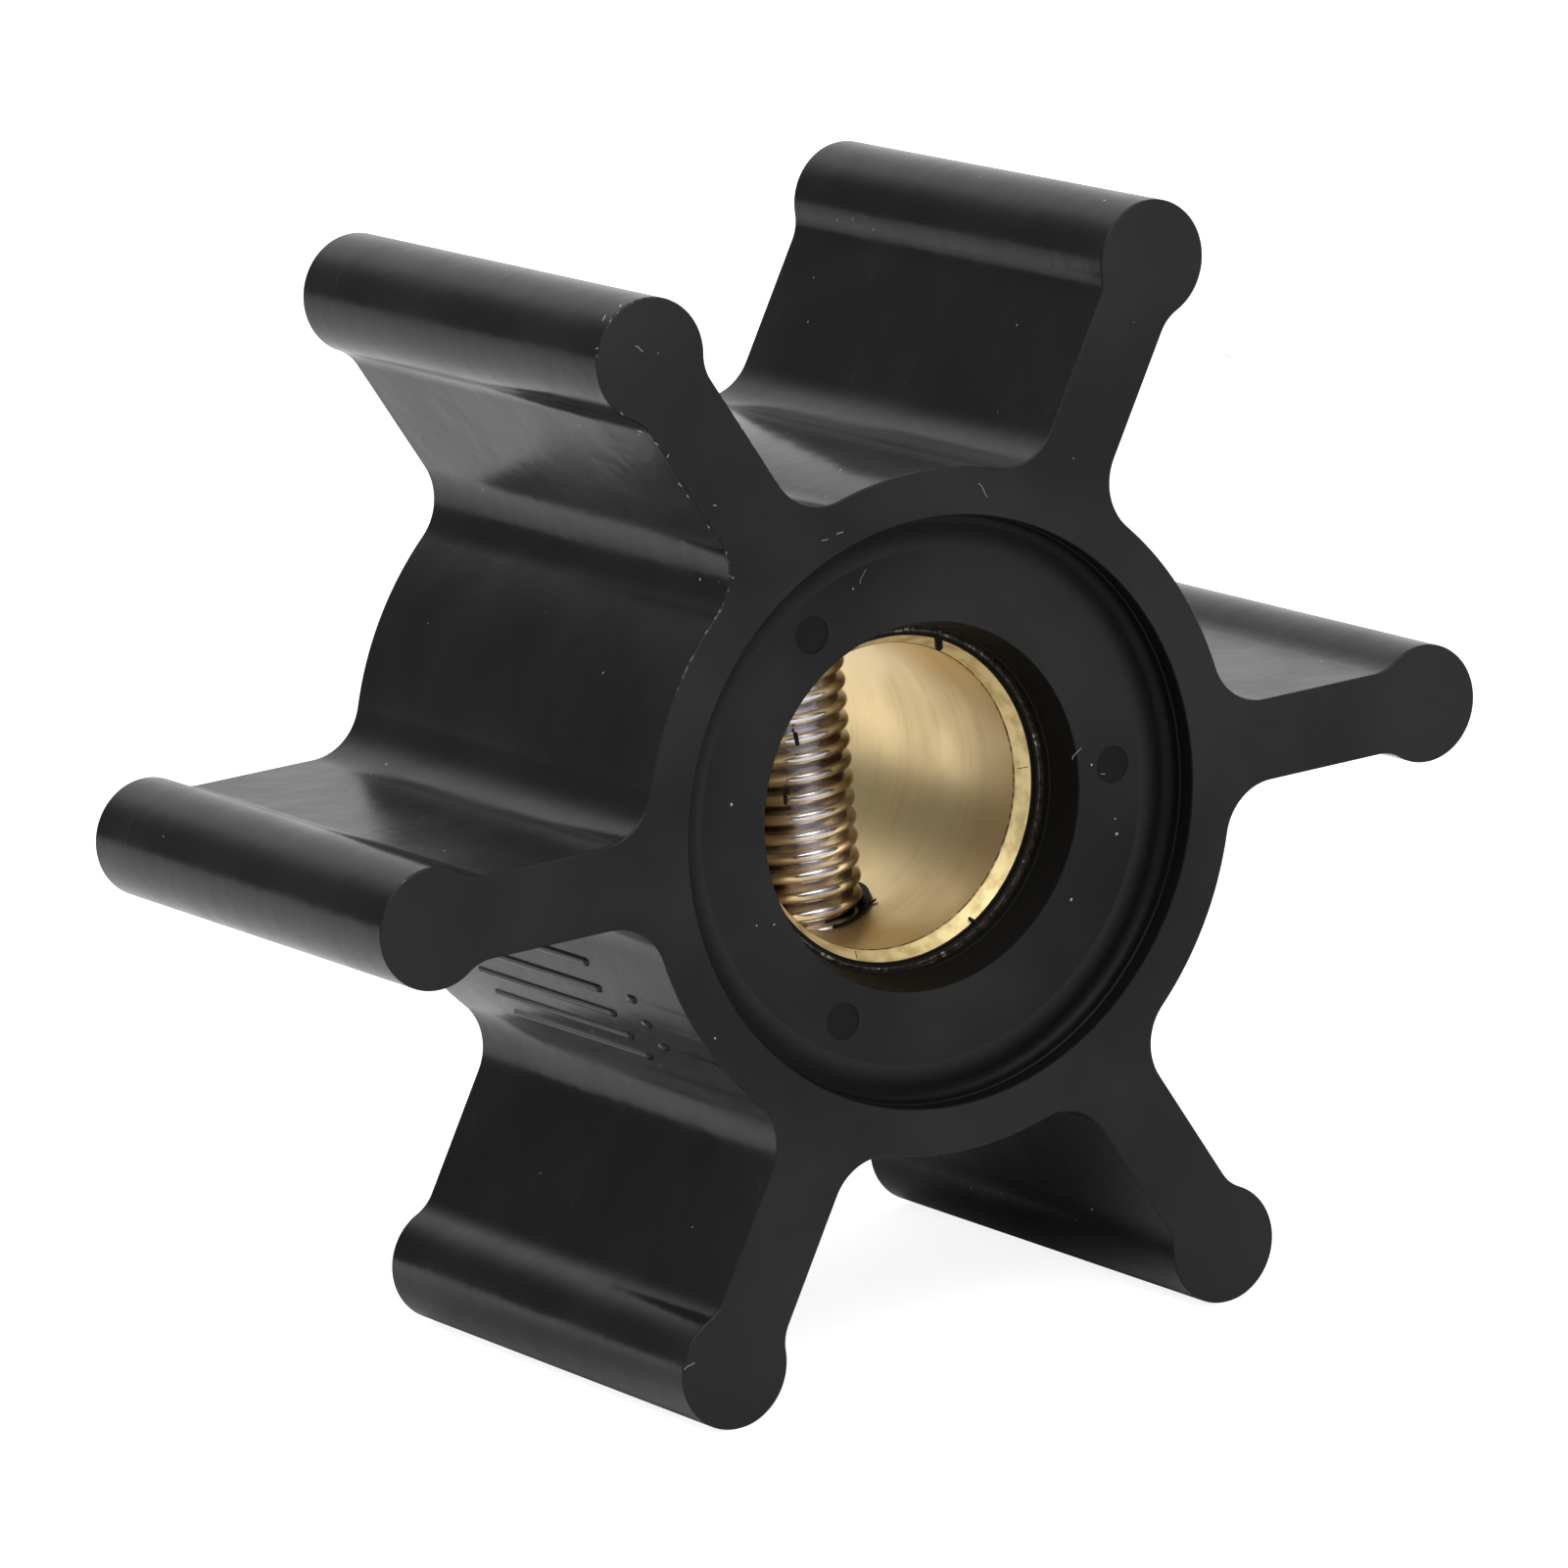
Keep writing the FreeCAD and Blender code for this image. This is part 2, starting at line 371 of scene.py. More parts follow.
# %% Bars and pips on the hub
bar_radius = 0.24 * MM
bar_sunk = 0.11 * MM
bar_angles = (199.3, 204.6, 209.9, 215.2, 220.5)
bar_ends = (-4.6, 5.4)
pip_angles = (204.6, 209.9, 215.2)
pip_ends = (-7.2, -7.0)


def on_hub(angle, depth):
    """A point sunk under the hub's surface, at this depth along the bore in millimetres."""
    turn = Matrix.Rotation(math.radians(angle), 3, TO_FRONT)
    return turn @ Vector((hub_radius - bar_sunk, depth * MM, 0))


for angles, (near_end, far_end) in ((bar_angles, bar_ends), (pip_angles, pip_ends)):
    for angle in angles:
        bar = capsule("bar", on_hub(angle, near_end), on_hub(angle, far_end), bar_radius)
        combine(rubber, bar, "UNION")
print("prism with its bars:", faces_of(rubber), "faces")

# %% [markdown]
# ## The rubber moulding: what the core leaves open
#
# The mould's core makes the dished recess, the mouth of the bore and the seat that the
# bush lies in. It is drawn as the core itself: half its outline, from the axis at the
# front to the middle of the bush, then mirrored, turned about the bore and cut from the
# hub. The recess wall has a faint step half way down, where two parts of the core meet.

# %% Core outline
CORNER_STEPS = 6

recess_radius = 11.7 * MM
recess_floor = front + 1.5 * MM
recess_step = 0.05 * MM
step_depth = 0.8 * MM
corner_radius = 0.42 * MM
# The recess floor's painted shade towards the wall begins at this radius.
shade_start_radius = recess_radius - 1.5 * MM
mouth_radius = 7.3 * MM
mouth_edge = 0.07 * MM
throat_radius = 6.88 * MM
throat_ledge = 0.05 * MM
throat_place = front + 2.95 * MM
lip_radius = 6.83 * MM
lip_skin = 0.15 * MM
crest_radius = 0.13 * MM
bush_mouth = bore_radius + 0.4 * MM
groove_outer = bush_front + 1.7 * MM
groove_inner = groove_outer + 1.2 * MM
groove_floor = bush_radius - 0.5 * MM
beyond_front = front - 1.3 * MM


def bush_outside(pen, end):
    """The outline that the bush and its rubber seat share, from the bush's end to the middle."""
    pen = line_to(pen, (bush_radius, end, 0))
    pen = line_to(pen, (bush_radius, groove_outer, 0))
    pen = line_to(pen, (groove_floor, groove_outer, 0))
    pen = line_to(pen, (groove_floor, groove_inner, 0))
    pen = line_to(pen, (bush_radius, groove_inner, 0))
    return line_to(pen, (bush_radius, 0, 0))


rim_centre = Vector((recess_radius + edge_radius, front + edge_radius, 0))
step_radius = recess_radius - recess_step
corner_centre = Vector((step_radius - corner_radius, recess_floor - corner_radius, 0))
mouth_centre = Vector((mouth_radius + mouth_edge, recess_floor + mouth_edge, 0))
crest_centre = Vector((lip_radius - crest_radius, bush_front - lip_skin, 0))

pen = pen_down("core", (0, beyond_front, 0))
core = bpy.context.object
pen = line_to(pen, (rim_centre.x, beyond_front, 0))
pen = line_to(pen, (rim_centre.x, front, 0))
pen = arc_about(pen, rim_centre, -90, EDGE_STEPS, UP)
pen = line_to(pen, (recess_radius, front + step_depth, 0))
pen = line_to(pen, (step_radius, front + step_depth + recess_step, 0))
pen = line_to(pen, (step_radius, corner_centre.y, 0))
pen = arc_about(pen, corner_centre, 90, CORNER_STEPS, UP)
# The floor is split where its painted shade begins.
pen = line_to(pen, (shade_start_radius, recess_floor, 0))
pen = line_to(pen, (mouth_centre.x, recess_floor, 0))
pen = arc_about(pen, mouth_centre, -90, EDGE_STEPS, UP)
pen = line_to(pen, (throat_radius + throat_ledge, throat_place, 0))
pen = line_to(pen, (throat_radius, throat_place + throat_ledge / 2, 0))
pen = line_to(pen, (lip_radius, crest_centre.y, 0))
pen = arc_about(pen, crest_centre, -180, ROUND_STEPS, UP)
pen = line_to(pen, (bush_mouth, crest_centre.y, 0))
pen = line_to(pen, (bush_mouth, bush_front, 0))
pen = bush_outside(pen, bush_front)
leave_all()
mirror_over(core, "Y")
turn_full(core)
print("core:", faces_of(core), "faces")

# %% [markdown]
# The stud's ends were in the mould too, so they leave a channel across the hub. The bush's
# cross hole is a little wider than the stud and off centre. Rubber crept into that gap and
# stands a little proud of the bore as a black ring round the stud.
#
# Three ejector pins pushed the warm moulding off its core and left shallow round marks in
# the front recess. Cylinders make all of these. The pins have an odd number of sides, so
# that their corners keep clear of the spokes of the turned floor. Where two edges all but
# meet, a boolean would leave slivers.

# %% Cut the core, the stud's channel and the ejector marks
DRILL_SIDES = 96
CHANNEL_SIDES = 64
PIN_SIDES = 47

drill_radius = 2.62 * MM
drill_place = at(0.24, 0.12, 0)
ring_height = 0.16 * MM
ejector_angles = (0, 120, 240)
ejector_circle = 8.94 * MM
ejector_radius = 0.75 * MM
ejector_depth = 0.04 * MM

ring_inside = bore_radius - ring_height
middle_of_bore = (0, 0, 0)

combine(rubber, core, "DIFFERENCE")
for side in (-1, 1):
    middle = drill_place + side * UP * (bore_radius + bush_radius) / 2
    filling = cylinder("filling", drill_radius, bush_radius / 2, middle, UP, DRILL_SIDES)
    inside = cylinder(
        "inside", ring_inside, 2 * bush_radius, middle_of_bore, ALONG_BORE, LATHE_STEPS
    )
    combine(filling, inside, "DIFFERENCE")
    combine(rubber, filling, "UNION")
channel = cylinder("channel", screw_radius, 2 * screw_end, middle_of_bore, UP, CHANNEL_SIDES)
combine(rubber, channel, "DIFFERENCE")
for angle in ejector_angles:
    place = Matrix.Rotation(math.radians(angle), 3, TO_FRONT) @ Vector((ejector_circle, 0, 0))
    place.y = recess_floor
    pin = cylinder(
        "ejector_pin", ejector_radius, 2 * ejector_depth, place, ALONG_BORE, PIN_SIDES
    )
    combine(rubber, pin, "DIFFERENCE")
print("moulding:", faces_of(rubber), "faces")

# %% [markdown]
# Moulds never close quite tight. A tongue of rubber lies in the bush's lead-in at the
# front, a smaller nick sits opposite, and a whisker sticks out of the ring round the stud.

# %% Flash on the moulding
flash = [
    capsule("tongue", at(2.57, -7.68, 6.17), at(2.94, -7.08, 5.52), 0.17 * MM),
    capsule("nick", at(3.30, -7.66, -5.66), at(3.15, -7.46, -5.50), 0.07 * MM),
    capsule("whisker", at(1.96, -1.68, -5.80), at(2.36, -1.78, -5.52), 0.05 * MM),
]
for piece in flash:
    combine(rubber, piece, "UNION")
clean_up(rubber)
print("moulding with flash:", faces_of(rubber), "faces")

# %% [markdown]
# ## The brass bush
#
# The bush is turned from bar: bored, given a lead-in at each end, and grooved outside so
# that the rubber keys to it. Then it is drilled across for the stud.

# %% Bush
lead_in_run = 0.65 * MM
outer_break = 0.15 * MM

pen = pen_down("bush", (bore_radius, 0, 0))
bush = bpy.context.object
pen = line_to(pen, (bore_radius, bush_front + lead_in_run, 0))
pen = line_to(pen, (bush_mouth, bush_front, 0))
pen = line_to(pen, (bush_radius - outer_break, bush_front, 0))
pen = bush_outside(pen, bush_front + outer_break)
leave_all()
mirror_over(bush, "Y")
turn_full(bush)
drill = cylinder("drill", drill_radius, 3 * bush_radius, drill_place, UP, DRILL_SIDES)
combine(bush, drill, "DIFFERENCE")
print("bush:", faces_of(bush), "faces")

# %% [markdown]
# ## The drive stud
#
# The stud is a rolled M5 thread: rounded crests, narrow V-shaped roots and 0.8 mm from
# one turn to the next. One pitch of its outline is drawn beside the axis, and the Screw
# modifier carries it up while turning it. Two cuts square off the ends, which are buried
# in the rubber.

# %% Threaded stud
THREAD_STEPS = 72

thread_pitch = 0.8 * MM
thread_depth = 0.4 * MM
thread_crest = 0.3 * MM
flank_angle = 60
root_radius = screw_radius - thread_depth
crest_middle = Vector((screw_radius - thread_crest, 0, thread_pitch / 2))
flank_turn = Matrix.Rotation(math.radians(flank_angle), 3, ALONG_BORE)
flank_start = flank_turn @ Vector((thread_crest, 0, 0))
turns = math.ceil(2 * screw_end / thread_pitch) + 2

pen = pen_down("screw", (root_radius, 0, 0))
screw = bpy.context.object
pen = line_to(pen, crest_middle + flank_start)
pen = arc_about(pen, crest_middle, 2 * flank_angle, ROUND_STEPS, TO_FRONT)
pen = line_to(pen, (root_radius, 0, thread_pitch))
bpy.ops.mesh.select_all(action="SELECT")
bpy.ops.transform.translate(value=(0, 0, -turns * thread_pitch / 2))
leave_all()
apply_modifier(
    screw,
    "SCREW",
    axis="Z",
    screw_offset=thread_pitch,
    iterations=turns,
    steps=THREAD_STEPS,
    render_steps=THREAD_STEPS,
    use_merge_vertices=True,
    merge_threshold=SAME_PLACE,
)
take(screw)
bpy.ops.object.mode_set(mode="EDIT")
for side in (-1, 1):
    bpy.ops.mesh.select_all(action="SELECT")
    bpy.ops.mesh.bisect(
        plane_co=(0, 0, side * screw_end), plane_no=(0, 0, side), clear_outer=True
    )
bpy.ops.mesh.select_all(action="SELECT")
bpy.ops.mesh.remove_doubles(threshold=SAME_PLACE)
bpy.ops.mesh.fill_holes(sides=0)
clean_up(screw)
print("stud:", faces_of(screw), "faces over", turns, "turns")

# %% [markdown]
# Two black crumbs of rubber stick to the thread, and two hair-fine scratches cross the
# bush's front lead-in. They are dark slivers, far too small for a boolean, so they lie on
# the surface as one loose piece.

# %% Crumbs and scratches
crumbs = join(
    [
        capsule("crumbs", at(-1.02, -2.27, 2.00), at(-1.0, -2.32, 1.62), 0.09 * MM),
        capsule("crumb", at(-1.55, -1.97, -0.40), at(-1.58, -2.02, -0.74), 0.08 * MM),
        capsule("scratch", at(-2.18, -7.4, -6.06), at(-1.98, -7.0, -5.87), 0.018 * MM),
        capsule("scratch", at(6.44, -7.4, 0.02), at(6.20, -7.02, -0.06), 0.015 * MM),
    ]
)
print("crumbs and scratches:", faces_of(crumbs), "faces")

# %% [markdown]
# ## Lint
#
# Rubber gathers lint. A few pale fibres, a fraction of a millimetre long, cling to the
# front face and the recess. Each is a bezier curve primitive, which already bends gently,
# given a thickness and turned into a mesh. Tiny flakes sit on the trimmed edges, mostly
# along the upper left vane. They all sink half their thickness into the rubber.

# %% Helpers: a fibre and a flake
FIBRE_THICKNESS = 0.03
THIN_FIBRE = 0.021
FIBRE_STEPS = 8
FLAKE_RADIUS = 0.017 * MM


def fibre(depth, thickness, across, up, length, heading, bend):
    """A fibre on a face of the front, placed in millimetres and turned in degrees."""
    leave_all()
    bpy.ops.curve.primitive_bezier_curve_add(
        radius=length / 2 * MM,
        location=(across * MM, depth, up * MM),
        rotation=(math.pi / 2, math.radians(heading), 0),
    )
    piece = bpy.context.object
    piece.scale.y = bend
    piece.data.bevel_depth = thickness / 2 * MM
    piece.data.use_fill_caps = True
    piece.data.resolution_u = FIBRE_STEPS
    bpy.ops.object.convert(target="MESH")
    name_and_settle("lint")
    clean_up(piece)
    return piece


def flake(across, up, heading, length):
    """A short pale speck on the front face or its edge."""
    turn = Matrix.Rotation(math.radians(heading), 3, TO_FRONT)
    middle = at(across, front / MM, up)
    reach = turn @ Vector((length / 2 * MM, 0, 0))
    return capsule("flake", middle - reach, middle + reach, FLAKE_RADIUS)


# %% [markdown]
# A row for a fibre gives its place across and up, its length, its heading and how much it
# bends. A row for a flake gives its place across and up, its heading and its length. The
# places were worked back from the photograph through the camera above.

# %% Lint on the front
fibres_on_front = (
    (2.9, 12.35, 0.7, 60, 0.7),
    (-4.45, 11.7, 0.3, -4, 0.6),
    (-3.75, 11.85, 0.3, -10, 0.8),
    (-12.02, 20.5, 0.4, 40, 0.9),
    (-13.6, -19.4, 0.5, -20, 0.8),
    (14.8, 15.6, 0.35, 30, 1.0),
)
thin_fibres_in_recess = ((-1.93, 9.6, 0.6, -60, 0.9), (7.3, 0.75, 0.6, -40, 0.9))
fibre_in_recess = (8.45, -0.3, 0.2, 10, 0.8)
flakes = (
    (-12.69, 22.3, 40, 0.10),
    (-13.44, 21.95, 50, 0.22),
    (-13.87, 20.84, 0, 0.08),
    (-11.2, 20.2, 0, 0.04),
    (-13.02, 18.17, -60, 0.12),
    (-12.28, 17.35, -30, 0.2),
    (-11.6, 16.75, -40, 0.16),
    (-11.15, 16.2, 50, 0.1),
    (-10.72, 15.0, -50, 0.2),
    (-10.42, 14.5, -60, 0.1),
    (-9.25, 13.93, -20, 0.1),
    (-9.6, 13.15, -50, 0.1),
    (-8.72, 11.0, -50, 0.08),
    (-3.5, 14.3, 20, 0.08),
)

pieces = [fibre(front, FIBRE_THICKNESS, *values) for values in fibres_on_front]
pieces += [fibre(recess_floor, THIN_FIBRE, *values) for values in thin_fibres_in_recess]
pieces.append(fibre(recess_floor, FIBRE_THICKNESS, *fibre_in_recess))
pieces += [flake(*values) for values in flakes]
lint = join(pieces)
lint.name = lint.data.name = "lint"
print("lint:", faces_of(lint), "faces")

# %% [markdown]
# ## Smooth and flat faces
#
# Round walls are shaded smooth wherever two faces meet at a small angle. Turned brass has
# crisp edges, so its limit is lower. The end faces and the recess floor were ground or
# moulded flat, so they stay flat shaded. The fine bevel would tilt the normals of the long
# faces beside it, and bend their reflections, so normals are weighted by face area.

# %% Shading
FLAT_END = 0.9999

for piece, smooth_below in ((rubber, 32), (bush, 20), (screw, 40), (crumbs, 60), (lint, 60)):
    take(piece)
    bpy.ops.object.shade_smooth_by_angle(angle=math.radians(smooth_below))
for piece in (rubber, bush):
    for face in piece.data.polygons:
        if abs(face.normal.y) > FLAT_END:
            face.use_smooth = False
    apply_modifier(piece, "WEIGHTED_NORMAL", mode="FACE_AREA", keep_sharp=True)
    smooth = sum(face.use_smooth for face in piece.data.polygons)
    print(piece.name, "has", smooth, "smooth faces of", faces_of(piece))

# %% [markdown]
# ## Shader groups
#
# Rubber, brass and steel all need the same few effects, so each effect is a node group
# with named inputs. A group only works out values and heights. The shader that uses them
# stays in the material. A tree of thirty nodes is hard to follow when each is added, set
# and linked in lines of its own, so small helpers do all three and hand the output on.


# %% Helpers: groups and nodes
def start_group(name, inputs, outputs):
    """A node group with float inputs, given as name and value, and float outputs."""
    group = bpy.data.node_groups.new(name, "ShaderNodeTree")
    group.interface.new_socket("Vector", in_out="INPUT", socket_type="NodeSocketVector")
    for label, value in inputs.items():
        socket = group.interface.new_socket(label, in_out="INPUT", socket_type="NodeSocketFloat")
        socket.default_value = value
    for label in outputs:
        group.interface.new_socket(label, in_out="OUTPUT", socket_type="NodeSocketFloat")
    entry = group.nodes.new("NodeGroupInput")
    leave = group.nodes.new("NodeGroupOutput")
    return group, entry.outputs, leave.inputs


def feed(tree, socket, value):
    """Link an output to a socket, or set the socket to a plain value."""
    if isinstance(value, bpy.types.NodeSocket):
        tree.links.new(value, socket)
    else:
        socket.default_value = value


def add_node(tree, kind, values=None, **settings):
    """A node with its settings, and its inputs fed by name or by number."""
    node = tree.nodes.new("ShaderNode" + kind)
    for setting, value in settings.items():
        setattr(node, setting, value)
    for key, value in (values or {}).items():
        feed(tree, node.inputs[key], value)
    return node


def calculate(tree, operation, first, second=0.0, third=0.0):
    """One step of arithmetic on one, two or three values."""
    values = {0: first, 1: second, 2: third}
    return add_node(tree, "Math", values, operation=operation).outputs[0]


def product(tree, first, *others):
    """Multiply values such as masks, from left to right."""
    for other in others:
        first = calculate(tree, "MULTIPLY", first, other)
    return first


def rescale(tree, value, low, high, to_low=0.0, to_high=1.0, kind="SMOOTHSTEP"):
    """Move a value from one range to another, held inside the new one."""
    values = {"Value": value, "From Min": low, "From Max": high}
    values.update({"To Min": to_low, "To Max": to_high})
    return add_node(tree, "MapRange", values, interpolation_type=kind).outputs["Result"]


def blend_colours(tree, share, first, second):
    """Mix two colours by a share from 0 to 1."""
    node = add_node(tree, "Mix", data_type="RGBA")
    feed(tree, node.inputs["Factor"], share)
    feed(tree, node.inputs["A"], first)
    feed(tree, node.inputs["B"], second)
    return node.outputs["Result"]


def how_many(tree, length, unit):
    """How many units fit in a length in metres, where the unit is in millimetres."""
    return calculate(tree, "DIVIDE", calculate(tree, "DIVIDE", length, MM), unit)


def round_the_bore(tree, place):
    """Distance from the bore's axis, bearing round it and depth along it."""
    parts = add_node(tree, "SeparateXYZ", {0: place}).outputs
    plan = add_node(tree, "CombineXYZ", {0: parts[0], 1: parts[2], 2: 0.0}).outputs[0]
    distance = add_node(tree, "VectorMath", {0: plan}, operation="LENGTH").outputs["Value"]
    bearing = calculate(tree, "ARCTAN2", parts[2], parts[0])
    return distance, bearing, parts[1]


# %% [markdown]
# Moulded rubber is never even. Big soft clouds come from where the gum flowed and cooled,
# mottle of half a millimetre from the mould's worn surface, and fine grain from its
# blasting. One group gives all three, and each material takes its colour, gloss, height
# and masks from them. Noise keeps near its middle value, so its common range is spread
# out over 0 to 1.

# %% Group: moulded skin
NOISE_LOW = 0.3
NOISE_HIGH = 0.7

skin_group, entry, leave = start_group(
    "moulded_skin",
    {"Cloud Size": 6.0, "Mottle Size": 0.5, "Grain Size": 0.12},
    ["Clouds", "Mottle", "Grain"],
)
for label, detail, result in (
    ("Cloud Size", 3.0, "Clouds"),
    ("Mottle Size", 2.0, "Mottle"),
    ("Grain Size", 2.0, "Grain"),
):
    scale = calculate(skin_group, "DIVIDE", 1 / MM, entry[label])
    noise = add_node(
        skin_group, "TexNoise", {"Vector": entry["Vector"], "Scale": scale, "Detail": detail}
    ).outputs[0]
    feed(skin_group, leave[result], rescale(skin_group, noise, NOISE_LOW, NOISE_HIGH))
print(skin_group.name, "has", len(skin_group.nodes), "nodes")

# %% [markdown]
# The gum flowed outwards into each vane, and left faint streaks that run outwards at a
# slant. Distance from the bore's axis and depth along it are the streaks' own
# coordinates, so each vane gets streaks in its own direction, and the bearing gives each
# its own pattern.

# %% Group: flow streaks
STREAK_SOFTNESS = 0.12
SHIFT_PER_RADIAN = 4.0

streak_group, entry, leave = start_group(
    "flow_streaks",
    {"Width": 0.12, "Length": 2.5, "Slant": 0.7, "Least": 0.6},
    ["Streaks", "Outwards", "Along"],
)
outwards, bearing, depth = round_the_bore(streak_group, entry["Vector"])
slanted = calculate(streak_group, "MULTIPLY_ADD", outwards, entry["Slant"], depth)
across_streak = how_many(streak_group, slanted, entry["Width"])
along_streak = how_many(streak_group, outwards, entry["Length"])
vane_shift = product(streak_group, bearing, SHIFT_PER_RADIAN)
streak_place = add_node(
    streak_group, "CombineXYZ", {0: across_streak, 1: along_streak, 2: vane_shift}
).outputs[0]
streaks = add_node(
    streak_group, "TexNoise", {"Vector": streak_place, "Scale": 1.0, "Detail": 2.0}
).outputs[0]
most = calculate(streak_group, "ADD", entry["Least"], STREAK_SOFTNESS)
feed(streak_group, leave["Streaks"], rescale(streak_group, streaks, entry["Least"], most))
feed(streak_group, leave["Outwards"], outwards)
feed(streak_group, leave["Along"], depth)
print(streak_group.name, "has", len(streak_group.nodes), "nodes")

# %% [markdown]
# Dust lies as tiny pale specks, each at the centre of a cell of a Voronoi pattern. A fine
# wobble makes them ragged. Most cells stay empty: a cell's own random colour decides
# whether it holds a speck, and how large that is.

# %% Group: dust specks
WOBBLES_PER_MM = 6
WOBBLE_REACH = 0.09 * MM

dust_group, entry, leave = start_group(
    "dust_specks", {"Spacing": 1.2, "Speck Size": 0.06, "Share": 0.2}, ["Specks"]
)
wobble = add_node(
    dust_group,
    "TexNoise",
    {"Vector": entry["Vector"], "Scale": WOBBLES_PER_MM / MM, "Detail": 1.0},
).outputs["Color"]
shaken = add_node(
    dust_group,
    "VectorMath",
    {0: wobble, 1: (WOBBLE_REACH,) * 3, 2: entry["Vector"]},
    operation="MULTIPLY_ADD",
).outputs[0]
cells_per_metre = calculate(dust_group, "DIVIDE", 1 / MM, entry["Spacing"])
cells = add_node(dust_group, "TexVoronoi", {"Vector": shaken, "Scale": cells_per_metre})
draw = add_node(dust_group, "SeparateColor", {0: cells.outputs["Color"]})
own_size = product(dust_group, entry["Speck Size"], draw.outputs[1])
reach = calculate(dust_group, "DIVIDE", own_size, entry["Spacing"])
near = calculate(dust_group, "LESS_THAN", cells.outputs["Distance"], reach)
chosen = calculate(dust_group, "LESS_THAN", draw.outputs[0], entry["Share"])
feed(dust_group, leave["Specks"], product(dust_group, near, chosen))
print(dust_group.name, "has", len(dust_group.nodes), "nodes")

# %% [markdown]
# A lathe leaves fine rings. On a bore they follow one another along the axis, on an end
# face outwards from it. Adding distance along the axis to distance from it serves both,
# because each changes only one of the two. A chamfer changes both, which only makes its
# rings broader or narrower.

# %% Group: turning rings
ring_group, entry, leave = start_group(
    "turning_rings", {"Ring Pitch": 0.08}, ["Rings", "Radius", "Depth", "Bearing"]
)
radius, bearing, depth = round_the_bore(ring_group, entry["Vector"])
travel = calculate(ring_group, "ADD", depth, radius)
pitches = how_many(ring_group, travel, entry["Ring Pitch"])
ring_place = add_node(ring_group, "CombineXYZ", {0: pitches, 1: 0.0, 2: 0.0}).outputs[0]
rings = add_node(
    ring_group, "TexNoise", {"Vector": ring_place, "Scale": 1.0, "Detail": 3.0, "Roughness": 0.7}
).outputs[0]
feed(ring_group, leave["Rings"], rings)
feed(ring_group, leave["Radius"], radius)
feed(ring_group, leave["Depth"], calculate(ring_group, "ABSOLUTE", depth))
feed(ring_group, leave["Bearing"], bearing)
print(ring_group.name, "has", len(ring_group.nodes), "nodes")


# %% Helpers: a material and its shader
def start_material(name, **plain):
    """A material whose shader has these plain values. Underscores stand for spaces."""
    material = bpy.data.materials.new(name)
    material.use_nodes = True
    tree = material.node_tree
    shader = tree.nodes["Principled BSDF"]
    for label, value in plain.items():
        shader.inputs[label.replace("_", " ")].default_value = value
    place = tree.nodes.new("ShaderNodeTexCoord").outputs["Object"]
    return material, tree, shader.inputs, place


def use_group(tree, group, place, **values):
    """Put a group in a material with its own values."""
    node = tree.nodes.new("ShaderNodeGroup")
    node.node_tree = group
    feed(tree, node.inputs["Vector"], place)
    for label, value in values.items():
        feed(tree, node.inputs[label.replace("_", " ")], value)
    return node.outputs


def raise_surface(tree, sockets, height, distance, under=None):
    """Feed a height to the shader's normal. Distance is its full height in millimetres."""
    values = {"Height": height, "Distance": distance * MM, "Strength": 1.0}
    bump = add_node(tree, "Bump", values)
    if under is not None:
        feed(tree, bump.inputs["Normal"], under)
    feed(tree, sockets["Normal"], bump.outputs["Normal"])
    return bump.outputs["Normal"]


# %% [markdown]
# ## Black rubber
#
# The rubber is black all through, so nearly all that shows is its skin. On the sides of
# the vanes it is satin: a grazing view turns it pale, a square one leaves it almost black.
# That comes from the shader's own Fresnel, with a low specular level, and not from paint.
# The blacks differ only a little, mostly by wear and tone at random. The deepest black is also
# painted shade, on the recess wall and in the mouth.

# %% Shades of black
BLACK = (0.0075, 0.0075, 0.0077, 1)
WORN_BLACK = (0.0105, 0.0104, 0.0107, 1)
SCUFFED_BLACK = (0.022, 0.022, 0.022, 1)
GROUND_BLACK = (0.0225, 0.0225, 0.0227, 1)
PALER_TIP_BLACK = (0.0255, 0.0255, 0.0258, 1)
FLOOR_BLACK = (0.0206, 0.0206, 0.0208, 1)
# The deepest black is the crumbs' own colour, and also painted shade on the recess wall and in
# the mouth.
CRUMB_BLACK_AND_RECESS_SHADE = (0.003, 0.003, 0.003, 1)
PIN_BLACK = (0.0075, 0.0075, 0.0075, 1)
DUST = (0.35, 0.35, 0.34, 1)

# %% [markdown]
# The clouds vary the gloss of the sides, scuffs run down the webs, and dust adds pale
# specks. Near the back of each bead a faint line shows where the two halves of the mould
# met. It wanders a little and fades out in places.

# %% Rubber on the sides of vanes and hub
SEAM_DEPTH = 8.85 * MM
SEAM_WANDER = 0.16 * MM
SEAM_CORE = 0.015 * MM
SEAM_EDGE = 0.05 * MM
SIDE_MOTTLE_HEIGHT = 0.0016
SIDE_CLOUD_HEIGHT = 0.025
SMOOTHEST_SIDE = 0.18
ROUGHEST_SIDE = 0.25
SCUFF_ROUGHNESS = 0.12
bead_inside = tip_radius - 2 * bead_radius

rubber_sides, tree, sockets, place = start_material("rubber_sides", Specular_IOR_Level=0.23)
skin = use_group(tree, skin_group, place, Cloud_Size=5.0, Mottle_Size=0.45, Grain_Size=0.14)
dust = use_group(tree, dust_group, place, Spacing=0.9, Speck_Size=0.06, Share=0.25)
streaks = use_group(tree, streak_group, place, Width=0.24, Length=1.5, Least=0.645)
on_vane = rescale(tree, streaks["Outwards"], hub_radius + MM, hub_radius + 3 * MM)
below_bead = rescale(tree, streaks["Outwards"], bead_inside - MM, bead_inside, 1, 0)
on_web = product(tree, on_vane, below_bead)
in_patches = rescale(tree, skin["Clouds"], 0.35, 0.85)
scuffed = product(tree, streaks["Streaks"], in_patches, on_web)

